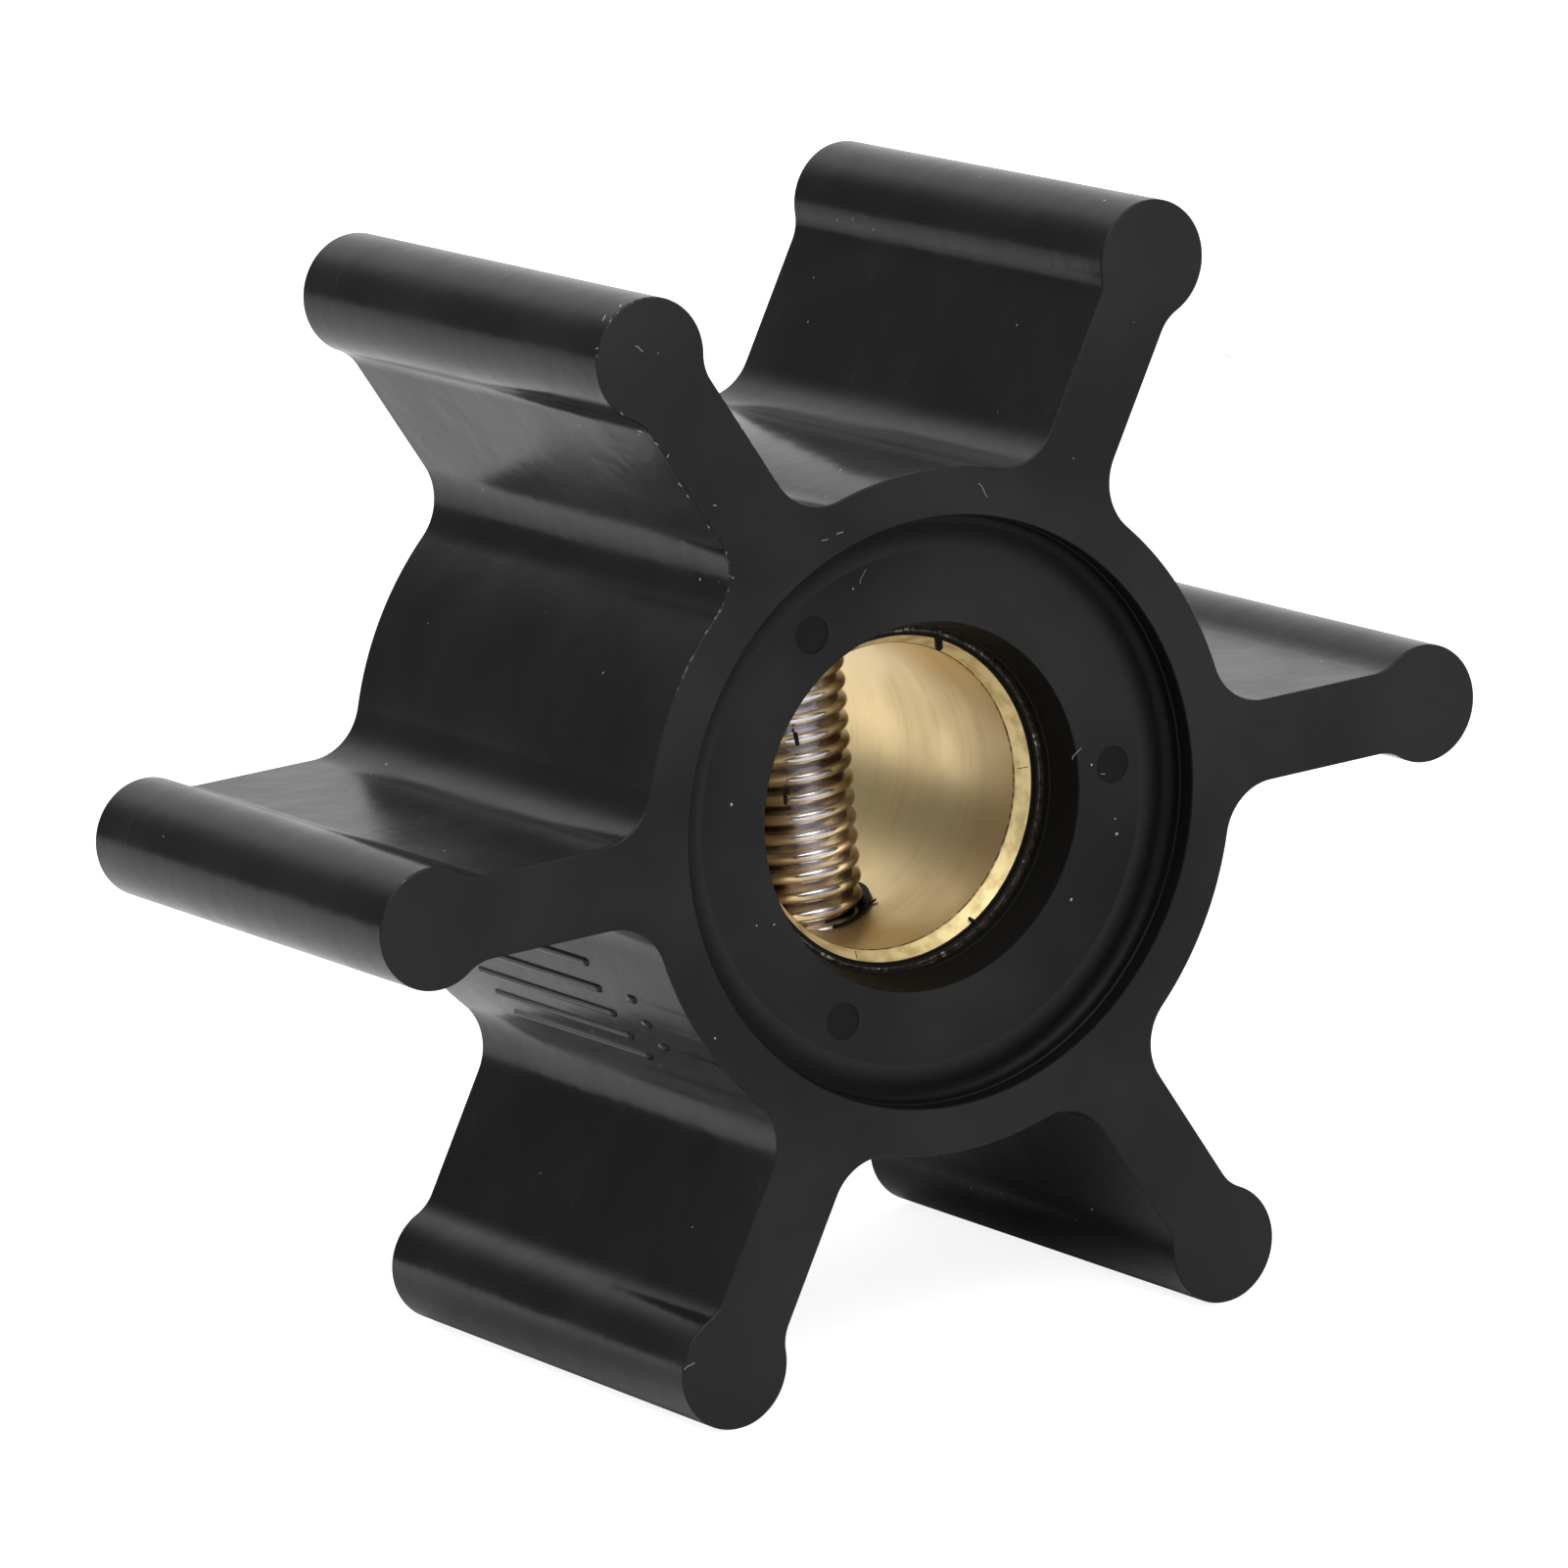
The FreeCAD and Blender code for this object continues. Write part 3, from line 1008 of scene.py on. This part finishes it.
waver = calculate(tree, "MULTIPLY_ADD", skin["Mottle"], SEAM_WANDER, streaks["Along"])
from_seam = calculate(tree, "ABSOLUTE", calculate(tree, "SUBTRACT", waver, SEAM_DEPTH))
seam_line = rescale(tree, from_seam, SEAM_CORE, SEAM_EDGE, 1, 0)
on_bead = rescale(tree, streaks["Outwards"], bead_inside, bead_inside + MM)
seam = product(tree, seam_line, on_bead, rescale(tree, skin["Clouds"], 0.25, 0.6))

body_colour = blend_colours(tree, skin["Clouds"], BLACK, WORN_BLACK)
marked = calculate(tree, "MAXIMUM", scuffed, seam)
body_colour = blend_colours(tree, marked, body_colour, SCUFFED_BLACK)
feed(tree, sockets["Base Color"], blend_colours(tree, dust["Specks"], body_colour, DUST))
roughness = rescale(tree, skin["Clouds"], 0, 1, SMOOTHEST_SIDE, ROUGHEST_SIDE)
roughness = calculate(tree, "MULTIPLY_ADD", scuffed, SCUFF_ROUGHNESS, roughness)
feed(tree, sockets["Roughness"], roughness)
mottle_bump = raise_surface(tree, sockets, skin["Mottle"], SIDE_MOTTLE_HEIGHT)
raise_surface(tree, sockets, skin["Clouds"], SIDE_CLOUD_HEIGHT, mottle_bump)
print(rubber_sides.name, "has", len(tree.nodes), "nodes")

# %% [markdown]
# The two end faces are flat and matt, and more even than the sides. They are a little paler
# towards the tips. Fine grain is all the height they have.

# %% Rubber on the end faces
FACE_GRAIN_HEIGHT = 0.002
TIP_PALING_SHARE = 0.5

rubber_faces, tree, sockets, place = start_material("rubber_faces", Specular_IOR_Level=0.1)
skin = use_group(tree, skin_group, place, Cloud_Size=9.0, Mottle_Size=0.6, Grain_Size=0.1)
dust = use_group(tree, dust_group, place, Spacing=0.8, Speck_Size=0.06, Share=0.22)
turned = use_group(tree, ring_group, place)
body_colour = blend_colours(tree, skin["Clouds"], WORN_BLACK, GROUND_BLACK)
towards_tips = rescale(tree, turned["Radius"], 1.1 * hub_radius, tip_radius)
tip_paling = product(tree, towards_tips, TIP_PALING_SHARE)
body_colour = blend_colours(tree, tip_paling, body_colour, PALER_TIP_BLACK)
feed(tree, sockets["Base Color"], blend_colours(tree, dust["Specks"], body_colour, DUST))
feed(tree, sockets["Roughness"], rescale(tree, skin["Clouds"], 0, 1, 0.5, 0.6, "LINEAR"))
raise_surface(tree, sockets, skin["Grain"], FACE_GRAIN_HEIGHT)
print(rubber_faces.name, "has", len(tree.nodes), "nodes")

# %% [markdown]
# Where the mould closes, a hair of rubber squeezes out along the edges of the end faces.
# It is trimmed off, which leaves crumbs and a torn, paler line, here only along the upper
# left vane. The fine bevel round both faces carries them.

# %% Rubber on the trimmed edges
TORN_RUBBER = (0.16, 0.16, 0.16, 1)
TORN_HEIGHT = 0.01
TO_TORN_VANE = (-0.5, 0, 0.87)
TORN_FROM = 9 * MM
TORN_FULLY_FROM = 17 * MM

rubber_edges, tree, sockets, place = start_material(
    "rubber_edges", Specular_IOR_Level=0.2, Roughness=0.35
)
skin = use_group(tree, skin_group, place, Cloud_Size=6.0, Mottle_Size=0.28, Grain_Size=0.1)
torn = rescale(tree, product(tree, skin["Mottle"], skin["Clouds"]), 0.55, 0.8)
towards_vane = add_node(tree, "VectorMath", {0: place, 1: TO_TORN_VANE}, operation="DOT_PRODUCT")
on_torn_vane = rescale(tree, towards_vane.outputs["Value"], TORN_FROM, TORN_FULLY_FROM)
torn = product(tree, torn, on_torn_vane)
feed(tree, sockets["Base Color"], blend_colours(tree, torn, BLACK, TORN_RUBBER))
raise_surface(tree, sockets, skin["Mottle"], TORN_HEIGHT)
print(rubber_edges.name, "has", len(tree.nodes), "nodes")

# %% [markdown]
# The core shaped the recess wall, the mouth and the lip round the bush. It was duller than the
# cavity, so that rubber is matt. Shade is painted into its colour: the recess floor darkens
# where it nears the wall, and the wall and the mouth are painted the darkest rubber of all.
# Along the lip's crest, where the bush was pressed into the mould, brass dust and torn bits
# cling in a pale broken line, and a painted highlight along the crest adds to that paleness.

# %% Rubber that the core shaped
# Brass dust on the lip's crest, with a painted highlight mixed into it.
BRASS_DUST_AND_SHEEN = (0.11, 0.093, 0.065, 1)
BRASS_BITS = (0.42, 0.36, 0.25, 1)
CORE_SIDE_HEIGHT = 0.006

rubber_core_side, tree, sockets, place = start_material(
    "rubber_core_side", Specular_IOR_Level=0.1, Roughness=0.5
)
skin = use_group(tree, skin_group, place, Cloud_Size=1.6, Mottle_Size=0.22, Grain_Size=0.1)
turned = use_group(tree, ring_group, place)
from_axis = turned["Radius"]
outside_crest = rescale(tree, from_axis, lip_radius - 0.02 * MM, lip_radius + 0.03 * MM, 1, 0)
inside_crest = rescale(tree, from_axis, lip_radius - 0.18 * MM, lip_radius - 0.11 * MM)
at_mouth = rescale(tree, turned["Depth"], abs(bush_front), abs(bush_front) + 0.1 * MM)
crest = product(tree, outside_crest, inside_crest, at_mouth)
# The crest's pale band is partly brass dust and partly a painted highlight along the rounded
# crest.
dust_and_sheen_on_crest = product(tree, crest, rescale(tree, skin["Mottle"], 0.2, 0.9, 0.3, 1.0))
torn = rescale(tree, product(tree, skin["Clouds"], skin["Mottle"]), 0.62, 0.8)
# Painted shade: the recess floor darkens towards the wall, and the wall and the mouth take the
# deepest black.
shade_towards_wall = rescale(tree, from_axis, shade_start_radius, shade_start_radius + 0.9 * MM)
outside_shaded_mouth = rescale(tree, from_axis, mouth_radius + 0.1 * MM, mouth_radius + 0.3 * MM)
body_colour = blend_colours(tree, shade_towards_wall, FLOOR_BLACK, CRUMB_BLACK_AND_RECESS_SHADE)
body_colour = blend_colours(tree, outside_shaded_mouth, CRUMB_BLACK_AND_RECESS_SHADE, body_colour)
body_colour = blend_colours(tree, dust_and_sheen_on_crest, body_colour, BRASS_DUST_AND_SHEEN)
body_colour = blend_colours(tree, product(tree, crest, torn), body_colour, BRASS_BITS)
feed(tree, sockets["Base Color"], body_colour)
raise_surface(tree, sockets, skin["Mottle"], CORE_SIDE_HEIGHT)
print(rubber_core_side.name, "has", len(tree.nodes), "nodes")

# %% [markdown]
# Three small finishes are the same all over: the marks of the ejector pins, the crumbs of
# rubber on the stud, and the lint. They need no nodes beyond the shader.

# %% Pin marks, crumbs and lint
LINT_GREY = (0.33, 0.33, 0.32, 1)

rubber_pin_marks = start_material(
    "rubber_pin_marks", Base_Color=PIN_BLACK, Roughness=0.6, Specular_IOR_Level=0.1
)[0]
rubber_crumbs = start_material(
    "rubber_crumbs", Base_Color=CRUMB_BLACK_AND_RECESS_SHADE, Roughness=0.5, Specular_IOR_Level=0.2
)[0]
pale_lint = start_material(
    "pale_lint", Base_Color=LINT_GREY, Roughness=0.8, Specular_IOR_Level=0.3
)[0]
print("plain finishes:", rubber_pin_marks.name, rubber_crumbs.name, pale_lint.name)

# %% [markdown]
# ## Turned brass
#
# Brass is a metal, so its colour is the colour of its reflection. The bore has a satin
# sheen with fine rings round it and a few brownish patches. The lead-ins were cut fast with
# a chattering tool. Their grooves scatter light into an even brightness, with a thin dark
# burr where they meet the bore.

# %% Brass
BRASS = (0.79, 0.61, 0.32, 1)
DULL_BRASS = (0.50, 0.36, 0.19, 1)
CUT_BRASS = (1.0, 0.84, 0.46, 1)
SCRAPED_BRASS = (0.70, 0.55, 0.26, 1)
BURR_BROWN = (0.16, 0.09, 0.035, 1)
FINE_RINGS = 0.09
BROAD_RINGS = 0.8
RING_HEIGHT = 0.0016
SCRAPES_PER_RADIAN = 7
DULLED_SHARE = 0.3
LEAD_IN_ROUGHNESS = 0.48
LEAD_IN_METALLIC = 0.75

brass, tree, sockets, place = start_material("turned_brass", Metallic=1.0)
turned = use_group(tree, ring_group, place, Ring_Pitch=FINE_RINGS)
skin = use_group(tree, skin_group, place, Cloud_Size=3.5, Mottle_Size=0.3)
bands = use_group(tree, ring_group, place, Ring_Pitch=BROAD_RINGS)
in_bands = rescale(tree, bands["Rings"], 0.4, 0.65)
dulled = product(tree, skin["Clouds"], in_bands, DULLED_SHARE)
bore_colour = blend_colours(tree, dulled, BRASS, DULL_BRASS)

lead_in = rescale(tree, turned["Radius"], bore_radius + 0.01 * MM, bore_radius + 0.04 * MM)
scrape_turn = product(tree, turned["Bearing"], SCRAPES_PER_RADIAN)
scrape_run = calculate(tree, "DIVIDE", turned["Depth"], lead_in_run)
scrape_place = add_node(tree, "CombineXYZ", {0: scrape_turn, 1: scrape_run, 2: 0.0}).outputs[0]
scrapes = add_node(
    tree, "TexNoise", {"Vector": scrape_place, "Scale": 1.0, "Detail": 4.0}
).outputs[0]
cut_colour = blend_colours(tree, rescale(tree, scrapes, 0.4, 0.68), CUT_BRASS, SCRAPED_BRASS)

burr_depth = abs(bush_front) - lead_in_run
from_burr = calculate(tree, "ABSOLUTE", calculate(tree, "SUBTRACT", turned["Depth"], burr_depth))
burr_line = rescale(tree, from_burr, 0.02 * MM, 0.07 * MM, 1, 0)
burr = product(tree, burr_line, rescale(tree, skin["Mottle"], 0.1, 0.7, 0.4, 1.0))

metal_colour = blend_colours(tree, lead_in, bore_colour, cut_colour)
feed(tree, sockets["Base Color"], blend_colours(tree, burr, metal_colour, BURR_BROWN))
bore_roughness = rescale(tree, skin["Clouds"], 0, 1, 0.34, 0.44, "LINEAR")
cut_roughness = product(tree, lead_in, LEAD_IN_ROUGHNESS)
feed(tree, sockets["Roughness"], calculate(tree, "MAXIMUM", bore_roughness, cut_roughness))
feed(tree, sockets["Metallic"], rescale(tree, lead_in, 0, 1, 1.0, LEAD_IN_METALLIC))
chatter = product(tree, turned["Rings"], rescale(tree, lead_in, 0, 1, 0.6, 3))
raise_surface(tree, sockets, chatter, RING_HEIGHT)
print(brass.name, "has", len(tree.nodes), "nodes")

# %% [markdown]
# ## Stainless steel
#
# The stud's thread was rolled, not cut, so it is bright and smooth, with darker, warmer patches
# across it.

# %% Steel
STEEL = (0.58, 0.56, 0.59, 1)
DARK_WARM_STEEL = (0.25, 0.21, 0.18, 1)
STEEL_GRAIN_HEIGHT = 0.001

steel, tree, sockets, place = start_material("rolled_steel", Metallic=1.0)
skin = use_group(tree, skin_group, place, Cloud_Size=3.0, Mottle_Size=0.5, Grain_Size=0.08)
feed(tree, sockets["Base Color"], blend_colours(tree, skin["Clouds"], STEEL, DARK_WARM_STEEL))
feed(tree, sockets["Roughness"], rescale(tree, skin["Mottle"], 0, 1, 0.12, 0.2, "LINEAR"))
raise_surface(tree, sockets, skin["Grain"], STEEL_GRAIN_HEIGHT)
print(steel.name, "has", len(tree.nodes), "nodes")

# %% [markdown]
# ## Each face takes its finish
#
# The moulding is one piece with five finishes. Each face finds its own by where it lies
# and how it is turned: the flat end faces and the recess floor, the pin marks just under
# that floor, all that the core shaped, and the tilted bevels beside an end face. All other
# faces keep the first finish, that of the sides.

# %% Give each piece its materials
FACES, EDGES, CORE_SIDE, PIN_MARKS = range(1, 5)
FACING_ALONG = 0.9
TILTED = 0.1

for material in (rubber_sides, rubber_faces, rubber_edges, rubber_core_side, rubber_pin_marks):
    rubber.data.materials.append(material)
for face in rubber.data.polygons:
    from_axis = math.hypot(face.center.x, face.center.z)
    under_face = abs(front) - abs(face.center.y)
    # The outer ring of the recess floor takes the core's finish, whose colour paints shade on it
    # towards the wall.
    on_shaded_floor_ring = shade_start_radius < from_axis < recess_radius and under_face > edge_radius
    faces_along = abs(face.normal.y) > FACING_ALONG
    if faces_along and from_axis > mouth_radius and not on_shaded_floor_ring:
        in_pin_mark = abs(face.center.y - recess_floor - ejector_depth) < 10 * SAME_PLACE
        face.material_index = PIN_MARKS if in_pin_mark else FACES
    elif from_axis < recess_radius + 2 * edge_radius:
        face.material_index = CORE_SIDE
    elif abs(face.normal.y) > TILTED and under_face < 1.5 * edge_radius:
        face.material_index = EDGES
bush.data.materials.append(brass)
screw.data.materials.append(steel)
crumbs.data.materials.append(rubber_crumbs)
lint.data.materials.append(pale_lint)
for index, material in enumerate(rubber.data.materials):
    count = sum(face.material_index == index for face in rubber.data.polygons)
    print(material.name, "covers", count, "faces")

# %% [markdown]
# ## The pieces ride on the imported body
#
# Each new piece stands for one solid, so that solid isn't shown.

# %% Ride and replace
for piece, node, slot in (
    (rubber, "rubber_impeller", "rubber"),
    (bush, "brass_bush", "brass"),
    (screw, "drive_screw", "steel"),
):
    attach(piece, "root")
    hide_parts(node)
for piece in (crumbs, lint):
    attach(piece, "root")
print("three pieces stand for solids, and two carry dirt")

# %% [markdown]
# ## Floor and light
#
# The part was photographed on white, in white surroundings. The floor is a large pale plane. The
# world is white to the camera and in reflections, and weaker as plain light, so that black
# rubber shows pale sheens while nothing is overlit. The white walls leave three gaps, to the
# left behind the part and on both sides of its front, and reflections are darker there: they
# draw the dark bands along the beads and the hub, and leave the thread one bright column. In
# reflections the floor carries a painted glow that grows away from the part, so it mirrors a
# painted shadow close to the part. One large soft lamp hangs above.

# %% Floor
WHITE = (1, 1, 1, 1)
FLOOR_WHITE = (0.9, 0.9, 0.9, 1)
FLOOR_SIZE = 6
FLOOR_LIFT = 0.87
MIRRORED_PAINTED_GLOW = 0.35
SHADOW_REACH = 24.5 * MM
LIT_REACH = 38 * MM


def whose_ray(tree):
    """Whether a camera's ray meets the surface, and whether a mirror's or a glass's does."""
    path = add_node(tree, "LightPath").outputs
    mirrored = calculate(tree, "MAXIMUM", path["Is Glossy Ray"], path["Is Transmission Ray"])
    return path["Is Camera Ray"], mirrored


leave_all()
bpy.ops.mesh.primitive_plane_add(size=FLOOR_SIZE, location=(0, 0, floor_height))
floor = name_and_settle("floor")
floor_white, tree, sockets, place = start_material(
    "floor_white",
    Base_Color=FLOOR_WHITE,
    Roughness=0.9,
    Specular_IOR_Level=0.0,
    Emission_Color=WHITE,
)
from_camera, mirrored = whose_ray(tree)
seen = product(tree, from_camera, FLOOR_LIFT)
from_part = add_node(tree, "VectorMath", {0: place}, operation="LENGTH").outputs["Value"]
# A painted glow on the floor, seen only in reflections, grows away from the part and leaves a
# painted shadow near it.
painted_glow_in_mirrors = rescale(tree, from_part, SHADOW_REACH, LIT_REACH, 0, MIRRORED_PAINTED_GLOW)
lift_and_painted_glow = calculate(tree, "MULTIPLY_ADD", mirrored, painted_glow_in_mirrors, seen)
feed(tree, sockets["Emission Strength"], lift_and_painted_glow)
floor.data.materials.append(floor_white)
print("the floor lies at", round(floor_height / MM, 2), "mm")

# %% World
WORLD_LIGHT = 0.4
GAP_LIGHT = 0.22
GAP_EDGE = math.cos(math.radians(42))
GAP_MIDDLE = math.cos(math.radians(15))
GAP_HEADINGS = (124, 230, 318)
GAP_RISE = 8

world = bpy.data.worlds.new("white_studio")
world.use_nodes = True
bpy.context.scene.world = world
tree = world.node_tree
from_camera, mirrored = whose_ray(tree)
direction = tree.nodes.new("ShaderNodeTexCoord").outputs["Generated"]
nearest_gap = -1.0
for heading in GAP_HEADINGS:
    level_turn = Euler((0, -math.radians(GAP_RISE), math.radians(heading)))
    towards = Vector((1, 0, 0))
    towards.rotate(level_turn)
    into_gap = add_node(tree, "VectorMath", {0: direction, 1: towards}, operation="DOT_PRODUCT")
    nearest_gap = calculate(tree, "MAXIMUM", into_gap.outputs["Value"], nearest_gap)
gap_share = rescale(tree, nearest_gap, GAP_EDGE, GAP_MIDDLE)
studio = rescale(tree, gap_share, 0, 1, 1.0, GAP_LIGHT, "LINEAR")
more_in_mirrors = calculate(tree, "SUBTRACT", studio, WORLD_LIGHT)
strength = calculate(tree, "MULTIPLY_ADD", mirrored, more_in_mirrors, WORLD_LIGHT)
strength = calculate(tree, "MAXIMUM", strength, from_camera)
background = tree.nodes["Background"]
background.inputs["Color"].default_value = WHITE
feed(tree, background.inputs["Strength"], strength)
print(world.name, "has", len(tree.nodes), "nodes")

# %% Lamp
LAMP_SIZE = 0.5
LAMP_ENERGY = 2.3
LAMP_PLACE = Vector((-0.10, -0.22, 0.40))

lamp_data = bpy.data.lights.new("top_softbox", "AREA")
lamp_data.shape = "RECTANGLE"
lamp_data.size = lamp_data.size_y = LAMP_SIZE
lamp_data.energy = LAMP_ENERGY
lamp = bpy.data.objects.new("top_softbox", lamp_data)
lamp.location = LAMP_PLACE
lamp.rotation_euler = (-LAMP_PLACE).to_track_quat("-Z", "Y").to_euler()
bpy.context.scene.collection.objects.link(lamp)
print("lamp", round(LAMP_PLACE.length, 2), "m from the part")

# %% Plain colours in the final picture
bpy.context.scene.view_settings.view_transform = "Standard"
